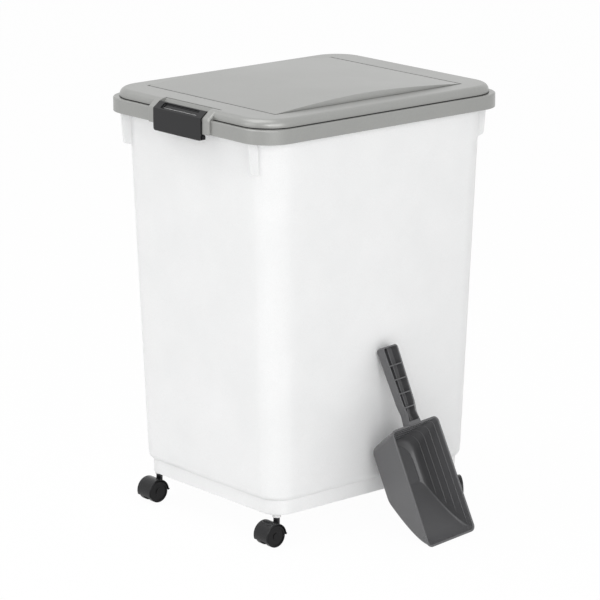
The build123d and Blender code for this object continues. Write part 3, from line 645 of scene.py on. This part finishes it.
class BinTub(bpy.types.PropertyGroup):
    """The tub's sizes."""

    base_width: FloatProperty(
        name="Base width", description="Outside, at the floor", default=308.0 * MM, min=MM, unit="LENGTH"
    )
    base_length: FloatProperty(
        name="Base length", description="Outside, at the floor", default=370.0 * MM, min=MM, unit="LENGTH"
    )
    base_corner: FloatProperty(
        name="Base corner", description="Corner radius at the floor", default=36.0 * MM, min=MM, unit="LENGTH"
    )
    top_width: FloatProperty(
        name="Top width", description="Outside, at the lip", default=337.0 * MM, min=MM, unit="LENGTH"
    )
    top_length: FloatProperty(
        name="Top length", description="Outside, at the lip", default=413.0 * MM, min=MM, unit="LENGTH"
    )
    top_corner: FloatProperty(
        name="Top corner", description="Corner radius at the lip", default=44.0 * MM, min=MM, unit="LENGTH"
    )
    wall: FloatProperty(
        name="Wall", description="Thickness of the walls", default=2.5 * MM, min=0.5 * MM, unit="LENGTH"
    )
    floor_z: FloatProperty(
        name="Floor", description="Height of the floor's underside", default=66.0 * MM, unit="LENGTH"
    )
    lip_z: FloatProperty(
        name="Lip", description="Height of the sealing lip", default=602.6 * MM, unit="LENGTH"
    )
    floor_round: FloatProperty(
        name="Floor rounding", description="Between walls and floor", default=9.0 * MM, min=0, unit="LENGTH"
    )
    foot_z: FloatProperty(
        name="Foot", description="Height of the foot band's lower edge", default=44.0 * MM, unit="LENGTH"
    )
    foot_inset: FloatProperty(
        name="Foot inset", description="How far the foot band stands in", default=7.0 * MM, unit="LENGTH"
    )
    foot_wall: FloatProperty(
        name="Foot wall", description="Thickness of the foot band", default=2.6 * MM, unit="LENGTH"
    )
    flange_z: FloatProperty(
        name="Flange", description="Height of the flange's top", default=583.5 * MM, unit="LENGTH"
    )
    flange_thickness: FloatProperty(
        name="Flange thickness", description="Of the rim flange", default=2.5 * MM, unit="LENGTH"
    )
    flange_width: FloatProperty(
        name="Flange width", description="Across the rim flange", default=353.6 * MM, unit="LENGTH"
    )
    flange_length: FloatProperty(
        name="Flange length", description="Along the rim flange", default=443.6 * MM, unit="LENGTH"
    )
    flange_corner: FloatProperty(
        name="Flange corner", description="Corner radius", default=40.8 * MM, unit="LENGTH"
    )
    gusset_x: FloatProperty(
        name="Gusset place", description="From the middle to each gusset", default=139.5 * MM, unit="LENGTH"
    )
    gusset_thickness: FloatProperty(
        name="Gusset", description="Thickness of a gusset", default=2.5 * MM, unit="LENGTH"
    )
    gusset_height: FloatProperty(
        name="Gusset height", description="How far a gusset reaches down", default=50.0 * MM, unit="LENGTH"
    )
    hinge_x: FloatProperty(
        name="Hinge place", description="From the middle to each hinge", default=110.0 * MM, unit="LENGTH"
    )
    hinge_y: FloatProperty(
        name="Hinge depth", description="The hinge axis from the middle", default=230.0 * MM, unit="LENGTH"
    )
    hinge_z: FloatProperty(
        name="Hinge height", description="Height of the hinge axis", default=577.0 * MM, unit="LENGTH"
    )
    hinge_radius: FloatProperty(
        name="Hinge eye", description="Outer radius of an eye", default=4.5 * MM, unit="LENGTH"
    )
    lug_near: FloatProperty(
        name="Lug place", description="From a hinge's middle to its lugs", default=9.4 * MM, unit="LENGTH"
    )
    lug_width: FloatProperty(
        name="Lug width", description="Width of a lug", default=6.0 * MM, unit="LENGTH"
    )
    socket_radius: FloatProperty(
        name="Socket", description="Outer radius of a caster socket", default=6.0 * MM, unit="LENGTH"
    )
    socket_bore: FloatProperty(
        name="Socket bore", description="Radius of its hole", default=3.1 * MM, unit="LENGTH"
    )
    socket_mouth: FloatProperty(
        name="Socket mouth", description="Height of its lower end", default=39.0 * MM, unit="LENGTH"
    )


class BinScoop(bpy.types.PropertyGroup):
    """The scoop's sizes and how it stands."""

    back_width: FloatProperty(
        name="Rim width", description="Across the rim at the grip", default=91.0 * MM, min=MM, unit="LENGTH"
    )
    tip_width: FloatProperty(
        name="Tip width", description="Across the rim at the tip", default=93.2 * MM, min=MM, unit="LENGTH"
    )
    bowl_length: FloatProperty(
        name="Bowl length", description="Along the rim", default=171.3 * MM, min=MM, unit="LENGTH"
    )
    bowl_depth: FloatProperty(
        name="Bowl depth", description="From rim to floor, outside", default=67.5 * MM, min=MM, unit="LENGTH"
    )
    tip_run: FloatProperty(
        name="Tip run", description="How far the tip slopes", default=82.3 * MM, unit="LENGTH"
    )
    back_run: FloatProperty(
        name="Back run", description="How far the back wall slopes", default=16.2 * MM, unit="LENGTH"
    )
    side_run: FloatProperty(
        name="Side run", description="How far each side slopes", default=6.4 * MM, unit="LENGTH"
    )
    tip_bend: FloatProperty(name="Tip bend", description="Exponent of the tip's curve", default=1.55)
    back_bend: FloatProperty(name="Back bend", description="Exponent of the back's curve", default=1.17)
    corner: FloatProperty(
        name="Corner", description="Corner radius of the rim", default=8.5 * MM, min=MM, unit="LENGTH"
    )
    deep_corner: FloatProperty(
        name="Deep corner", description="Corner radius at the floor", default=12.0 * MM, min=MM, unit="LENGTH"
    )
    inner_round: FloatProperty(
        name="Inner rounding", description="Added to the inner back corners", default=18.0 * MM, unit="LENGTH"
    )
    crease: FloatProperty(
        name="Crease", description="Tip corner radius at the floor", default=6.0 * MM, min=MM, unit="LENGTH"
    )
    floor_round: FloatProperty(
        name="Floor rounding", description="Between walls and floor", default=9.0 * MM, min=MM, unit="LENGTH"
    )
    wall: FloatProperty(name="Wall", description="Thickness", default=2.0 * MM, min=0.5 * MM, unit="LENGTH")
    rim_width: FloatProperty(
        name="Rim", description="Width of the rolled rim", default=3.2 * MM, min=0.5 * MM, unit="LENGTH"
    )
    rim_height: FloatProperty(
        name="Rim height", description="Of the rolled rim", default=3.0 * MM, min=0.5 * MM, unit="LENGTH"
    )
    mark_count: IntProperty(name="Marks", description="Measuring ridges inside", default=4, min=0)
    mark_first: FloatProperty(
        name="First mark", description="Depth of the first ridge", default=9.5 * MM, unit="LENGTH"
    )
    mark_pitch: FloatProperty(
        name="Mark pitch", description="Distance between ridges", default=13.0 * MM, unit="LENGTH"
    )
    mark_proud: FloatProperty(
        name="Mark radius", description="How far a ridge stands out", default=0.6 * MM, unit="LENGTH"
    )
    mark_start: FloatProperty(
        name="Mark start", description="From the tip wall to the ridges", default=4.0 * MM, unit="LENGTH"
    )
    length: FloatProperty(
        name="Length", description="From the tip to the end of the grip", default=285.0 * MM, unit="LENGTH"
    )
    grip_front: FloatProperty(
        name="Grip front", description="How far it stands above the rim", default=2.0 * MM, unit="LENGTH"
    )
    grip_depth: FloatProperty(
        name="Grip depth", description="From front to back", default=15.3 * MM, unit="LENGTH"
    )
    grip_wall: FloatProperty(
        name="Grip wall", description="Thickness of its sides", default=2.2 * MM, unit="LENGTH"
    )
    grip_floor: FloatProperty(
        name="Grip floor", description="Thickness of its back", default=2.4 * MM, unit="LENGTH"
    )
    neck_half: FloatProperty(
        name="Neck", description="Half width of the waist", default=9.3 * MM, unit="LENGTH"
    )
    neck_length: FloatProperty(
        name="Neck length", description="From the bowl to the waist", default=14.0 * MM, unit="LENGTH"
    )
    low_half: FloatProperty(
        name="Low grip", description="Half width after the waist", default=11.8 * MM, unit="LENGTH"
    )
    end_half: FloatProperty(
        name="Grip end", description="Half width at the end", default=14.3 * MM, unit="LENGTH"
    )
    end_round: FloatProperty(
        name="End rounding", description="Corner radius of the end", default=5.0 * MM, unit="LENGTH"
    )
    rib_count: IntProperty(name="Ribs", description="Cross ribs in the grip", default=4, min=0)
    rib_first: FloatProperty(
        name="First rib", description="From the tip", default=257.2 * MM, unit="LENGTH"
    )
    rib_pitch: FloatProperty(
        name="Rib pitch", description="Distance between cross ribs", default=20.6 * MM, unit="LENGTH"
    )
    rib_thickness: FloatProperty(
        name="Rib", description="Thickness of a rib", default=1.6 * MM, unit="LENGTH"
    )
    lean: FloatProperty(
        name="Lean", description="How far it leans back from upright", subtype="ANGLE",
        default=math.radians(23.6),
    )
    tilt: FloatProperty(
        name="Tilt", description="How far it is turned in its own plane", subtype="ANGLE",
        default=math.radians(4.1),
    )


class BinStage(bpy.types.PropertyGroup):
    """Where the camera stands and how strong the lights are."""

    camera_place: FloatVectorProperty(
        name="Camera", description="Where the camera stands", subtype="TRANSLATION", unit="LENGTH", size=3,
        default=(3.3264, -2.8600, 1.4382),
    )
    camera_turn: FloatVectorProperty(
        name="Turn", description="How the camera is turned", subtype="EULER", unit="ROTATION", size=3,
        default=(math.radians(75.42), 0.0, math.radians(49.4)),
    )
    lens: FloatProperty(name="Lens", description="Focal length", default=189.35, min=10, unit="CAMERA")
    world_light: FloatProperty(
        name="Room light", description="Strength of the even light from all round", default=0.62, min=0
    )
    key_power: FloatProperty(
        name="Key", description="Power of the large lamp overhead", default=28.0, min=0, unit="POWER"
    )
    side_power: FloatProperty(
        name="Side", description="Power of the lamp on the right", default=28.0, min=0, unit="POWER"
    )
    front_power: FloatProperty(
        name="Front", description="Power of the lamp on the left", default=12.0, min=0, unit="POWER"
    )
    fill_power: FloatProperty(
        name="Fill", description="Power of the large lamp behind the camera", default=5.0, min=0, unit="POWER"
    )
    glint_power: FloatProperty(
        name="Glint", description="Power of the small lamp that the rounded edges reflect",
        default=7.0, min=0, unit="POWER",
    )


class BinOperator:
    """What the operators share."""

    bl_options = {"REGISTER", "UNDO"}

    def settings(self):
        return bpy.context.scene.bin_finish


class BIN_OT_tub(BinOperator, bpy.types.Operator):
    """Make the tub's shell with its foot band and flange, its gussets, hinge lugs and caster sockets"""

    bl_idname = "bin.tub"
    bl_label = "Tub"

    def execute(self, context):
        finish, tub = self.settings(), in_millimetres(context.scene.bin_tub)
        milky = moulded_plastic(
            "milky_tub", finish.tub_colour, roughness=0.36, grain=700.0, depth=0.00005,
            Subsurface_Weight=0.3, Subsurface_Scale=0.008, IOR=1.49,
        )
        milky.main.inputs["Subsurface Radius"].default_value = (1.0, 1.0, 1.0)
        shell = Surface().skin(tub_shell(tub), flip=True)
        shell.finish("tub_shell", milky, "base", "tub_plastic", ["tub"])
        gussets = Surface()
        for side in (-1, 1):
            for x in (-tub.gusset_x, tub.gusset_x):
                low, high = x - tub.gusset_thickness / 2, x + tub.gusset_thickness / 2
                gussets.skin(prism(gusset_outline(tub, side), low, high, 0, 0.3), flip=side > 0)
        # painted shade: the gussets and hinge lugs take the tub's colour darkened by a tenth
        shaded_rib_colour = [channel * 0.9 for channel in finish.tub_colour]
        thin = moulded_plastic("milky_ribs", shaded_rib_colour, roughness=0.4, grain=700.0, depth=0.00005, IOR=1.49)
        gussets.finish("tub_gussets", thin, "base", "tub_plastic", smooth_angle=25)
        lugs = Surface()
        for x in (-tub.hinge_x, tub.hinge_x):
            for side in (-1, 1):
                near = x + side * tub.lug_near
                low, high = sorted((near, near + side * tub.lug_width))
                lugs.skin(prism(lug_outline(tub), low, high, 0, 0.5))
        lugs.finish("tub_hinge_lugs", thin, "base", "tub_plastic", smooth_angle=25)
        sockets = Surface()
        for corner in CORNERS:
            for part in (socket_ring(tub, corner), *socket_webs(tub, corner)):
                sockets.skin(part)
        sockets.finish("tub_caster_sockets", milky, "base", "tub_plastic", smooth_angle=35)
        return {"FINISHED"}


def groove_shade_mask(shader):
    """1 in the lid's grooves, where shade is painted: round the dome's foot, at the panel's short edges and
    behind the latch.
    """
    x, y, z = shader.axes()
    outside = shader.rim_distance(DOME_HALF_X, DOME_HALF_Y, DOME_CORNER)
    at_foot = shader.near(outside, -DOME_FOOT_IN, DOME_FOOT_DEPTH)
    foot_line = shader.math("MULTIPLY", shader.near(z, DOME_FOOT_Z, DOME_FOOT_LINE), at_foot)
    short_edge = shader.near(shader.math("ABSOLUTE", y), PANEL_HALF_Y + PANEL_LINE / 2, PANEL_LINE)
    on_panel = shader.math("LESS_THAN", shader.math("ABSOLUTE", x), (PANEL_HALF_X + PANEL_LINE) * MM)
    panel_line = shader.math("MULTIPLY", short_edge, on_panel)
    behind_latch = shader.near(x, LATCH_LINE_X, LATCH_LINE_HALF * 2)
    latch_line = shader.math("MULTIPLY", shader.near(y, LATCH_LINE_Y, PANEL_LINE), behind_latch)
    on_top = shader.math("GREATER_THAN", z, (RING_Z - TOP_LINE_DEPTH) * MM)
    top_line = shader.math("MULTIPLY", shader.math("MAXIMUM", panel_line, latch_line), on_top)
    return shader.math("MAXIMUM", foot_line, top_line)


def silver_lid(colour):
    """Silver grey plastic with shade painted into its grooves, which are also dull."""
    shader = moulded_plastic(
        "silver_lid", colour, roughness=0.33, grain=420.0, depth=0.00004, Metallic=0.4, IOR=1.75
    )
    lines = groove_shade_mask(shader)
    # painted shade: the grooves are blended most of the way to near black
    shader.tint(shader.math("MULTIPLY", lines, 0.85), (0.02, 0.02, 0.02))
    plain = shader.main.inputs["Roughness"].links[0].from_socket
    shader.link(shader.math("MAXIMUM", plain, lines), "Roughness")
    return shader


class BIN_OT_lid(BinOperator, bpy.types.Operator):
    """Finish the lid and its seal"""

    bl_idname = "bin.lid"
    bl_label = "Lid"

    def execute(self, context):
        dress("lid", silver_lid(self.settings().lid_colour))
        foam = moulded_plastic("foam_seal", (0.72, 0.72, 0.7), roughness=0.8, grain=2500.0, depth=0.0002)
        dress("lid_seal", foam)
        return {"FINISHED"}


class BIN_OT_latch(BinOperator, bpy.types.Operator):
    """Finish the latch and its pin"""

    bl_idname = "bin.latch"
    bl_label = "Latch"

    def execute(self, context):
        colour = self.settings().latch_colour
        black = moulded_plastic("black_latch", colour, roughness=0.16, grain=500.0, depth=0.00001, IOR=1.4)
        dress("latch", black)
        dress("latch_pin", steel_wire("latch_wire", (0.62, 0.62, 0.62), (0.02, 1, 1)))
        return {"FINISHED"}


class BIN_OT_hinge(BinOperator, bpy.types.Operator):
    """Finish the rear hinge's pins"""

    bl_idname = "bin.hinge"
    bl_label = "Hinge pins"

    def execute(self, context):
        wire = steel_wire("hinge_wire", (0.62, 0.62, 0.62), (0.02, 1, 1))
        for side in ("left", "right"):
            dress(f"hinge_pin_{side}", wire)
        return {"FINISHED"}


class BIN_OT_casters(BinOperator, bpy.types.Operator):
    """Finish the four casters"""

    bl_idname = "bin.casters"
    bl_label = "Casters"

    def execute(self, context):
        colour = self.settings().caster_colour
        darker = [channel * 0.5 for channel in colour]
        texture = {"grain": 600.0, "depth": 0.00003}
        hood = moulded_plastic("caster_hood_black", colour, roughness=0.22, IOR=1.38, **texture)
        wheel = moulded_plastic("caster_wheel_black", darker, roughness=0.33, IOR=1.3, **texture)
        steel = steel_wire("caster_steel", (0.6, 0.6, 0.6), (1, 1, 0.02))
        for corner in CORNERS:
            dress(f"{corner}_caster_hood", hood)
            dress(f"{corner}_wheel_a", wheel)
            dress(f"{corner}_wheel_b", wheel)
            for piece in ("caster_stem", "grip_ring", "axle"):
                dress(f"{corner}_{piece}", steel)
        return {"FINISHED"}


class BIN_OT_scoop(BinOperator, bpy.types.Operator):
    """Make the scoop: bowl with a rolled rim and inner marks, and a ribbed grip open at the front"""

    bl_idname = "bin.scoop"
    bl_label = "Scoop"

    def execute(self, context):
        scoop = in_millimetres(context.scene.bin_scoop)
        colour = self.settings().scoop_colour
        charcoal = moulded_plastic(
            "charcoal_scoop", colour, roughness=0.23, grain=900.0, depth=0.00003, IOR=1.45
        )
        made = Surface().skin(scoop_bowl(scoop), flip=True)
        for number in range(scoop.mark_count):
            made.skin(scoop_mark(scoop, scoop.mark_first + number * scoop.mark_pitch), flip=True)
        for part in (grip_shell(scoop), *grip_ribs(scoop)):
            made.skin(part)
        points = [lean_on_tub(scoop, part) for part in made.points]
        shift = np.array(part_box("scoop")[0]) / MM - np.concatenate(points).min(axis=0)
        made.points = [part + shift for part in points]
        made.finish("scoop_body", charcoal, "scoop_group", "scoop_plastic", ["scoop"], 40)
        return {"FINISHED"}


class BIN_OT_stage(BinOperator, bpy.types.Operator):
    """Set up the floor, the lamps, the room and the camera"""

    bl_idname = "bin.stage"
    bl_label = "Stage"

    def execute(self, context):
        stage = context.scene.bin_stage
        make_floor()
        make_world(stage.world_light)
        for name, (place, aim, size) in LAMPS.items():
            make_lamp(f"{name}_lamp", place, aim, size, getattr(stage, f"{name}_power"))
        camera_data = bpy.data.cameras.new("camera")
        camera_data.lens = stage.lens
        camera_data.sensor_width = 36.0
        camera = put("camera", camera_data)
        camera.location = stage.camera_place
        camera.rotation_euler = stage.camera_turn
        context.scene.camera = camera
        context.scene.view_settings.view_transform = "Standard"
        return {"FINISHED"}


def setting_groups(scene):
    """Every group of settings, in the panel's order."""
    return scene.bin_finish, scene.bin_tub, scene.bin_scoop, scene.bin_stage


class BIN_PT_panel(bpy.types.Panel):
    """Sidebar panel with every step and its settings"""

    bl_label = "Pet Food Bin"
    bl_idname = "BIN_PT_panel"
    bl_space_type = "VIEW_3D"
    bl_region_type = "UI"
    bl_category = "Bin"

    def draw(self, context):
        for group in setting_groups(context.scene):
            for name in group.__annotations__:
                self.layout.prop(group, name)
        for step in STEPS:
            self.layout.operator(step.bl_idname)


# Stage

def seen(tree):
    """1 where the ray comes from the camera, a mirror or glass, and 0 elsewhere."""
    path = tree.nodes.new("ShaderNodeLightPath").outputs
    total = path["Is Camera Ray"]
    for other in ("Is Glossy Ray", "Is Transmission Ray"):
        larger = add_node(tree, "ShaderNodeMath", {0: total, 1: path[other]}, operation="MAXIMUM")
        total = larger.outputs["Value"]
    return total


def make_floor():
    """A wide level floor that looks white to the eye and keeps the shadow."""
    mesh = bpy.data.meshes.new("floor")
    corners = [(x * FLOOR_REACH, y * FLOOR_REACH, 0) for x, y in ((-1, -1), (1, -1), (1, 1), (-1, 1))]
    mesh.from_pydata(corners, [], [(0, 1, 2, 3)])
    floor = put("floor", mesh)
    paper = Shader("studio_floor", (0.9, 0.9, 0.9), 0.9, Specular_IOR_Level=0.0)
    white = paper.add("ShaderNodeEmission").outputs["Emission"]
    share = paper.math("MULTIPLY", seen(paper.tree), FLOOR_WHITE)
    blend = paper.add("ShaderNodeMixShader", {"Fac": share, 1: paper.main.outputs["BSDF"], 2: white})
    surface = paper.tree.nodes["Material Output"].inputs["Surface"]
    paper.tree.links.new(blend.outputs["Shader"], surface)
    mesh.materials.append(paper.material)


def make_world(strength):
    """Even light from all round; white to the eye."""
    world = bpy.data.worlds.new("studio")
    world.use_nodes = True
    bpy.context.scene.world = world
    tree = world.node_tree
    background = tree.nodes["Background"].inputs
    background["Color"].default_value = (1.0, 1.0, 1.0, 1.0)
    blend = add_node(tree, "ShaderNodeMapRange", {"Value": seen(tree), "To Min": strength, "To Max": 1.0})
    tree.links.new(blend.outputs["Result"], background["Strength"])


def make_lamp(name, place, aim, size, power):
    """A square soft lamp that faces a point."""
    data = bpy.data.lights.new(name, "AREA")
    data.size = size
    data.energy = power
    lamp = put(name, data)
    lamp.location = place
    away = lamp.location - type(lamp.location)(aim)
    lamp.rotation_euler = away.to_track_quat("Z", "Y").to_euler()


STEPS = (
    BIN_OT_stage, BIN_OT_tub, BIN_OT_lid, BIN_OT_latch, BIN_OT_hinge, BIN_OT_casters, BIN_OT_scoop,
)
CLASSES = (BinFinish, BinTub, BinScoop, BinStage, *STEPS, BIN_PT_panel)


def register():
    for cls in CLASSES:
        bpy.utils.register_class(cls)
    bpy.types.Scene.bin_finish = PointerProperty(type=BinFinish)
    bpy.types.Scene.bin_tub = PointerProperty(type=BinTub)
    bpy.types.Scene.bin_scoop = PointerProperty(type=BinScoop)
    bpy.types.Scene.bin_stage = PointerProperty(type=BinStage)


def unregister():
    del bpy.types.Scene.bin_stage
    del bpy.types.Scene.bin_scoop
    del bpy.types.Scene.bin_tub
    del bpy.types.Scene.bin_finish
    for cls in reversed(CLASSES):
        bpy.utils.unregister_class(cls)


def main():
    register()
    for step in STEPS:
        operator = getattr(bpy.ops.bin, step.bl_idname.split(".")[1])
        if operator() != {"FINISHED"}:
            raise RuntimeError(step.bl_idname)


if __name__ == "__main__":
    main()
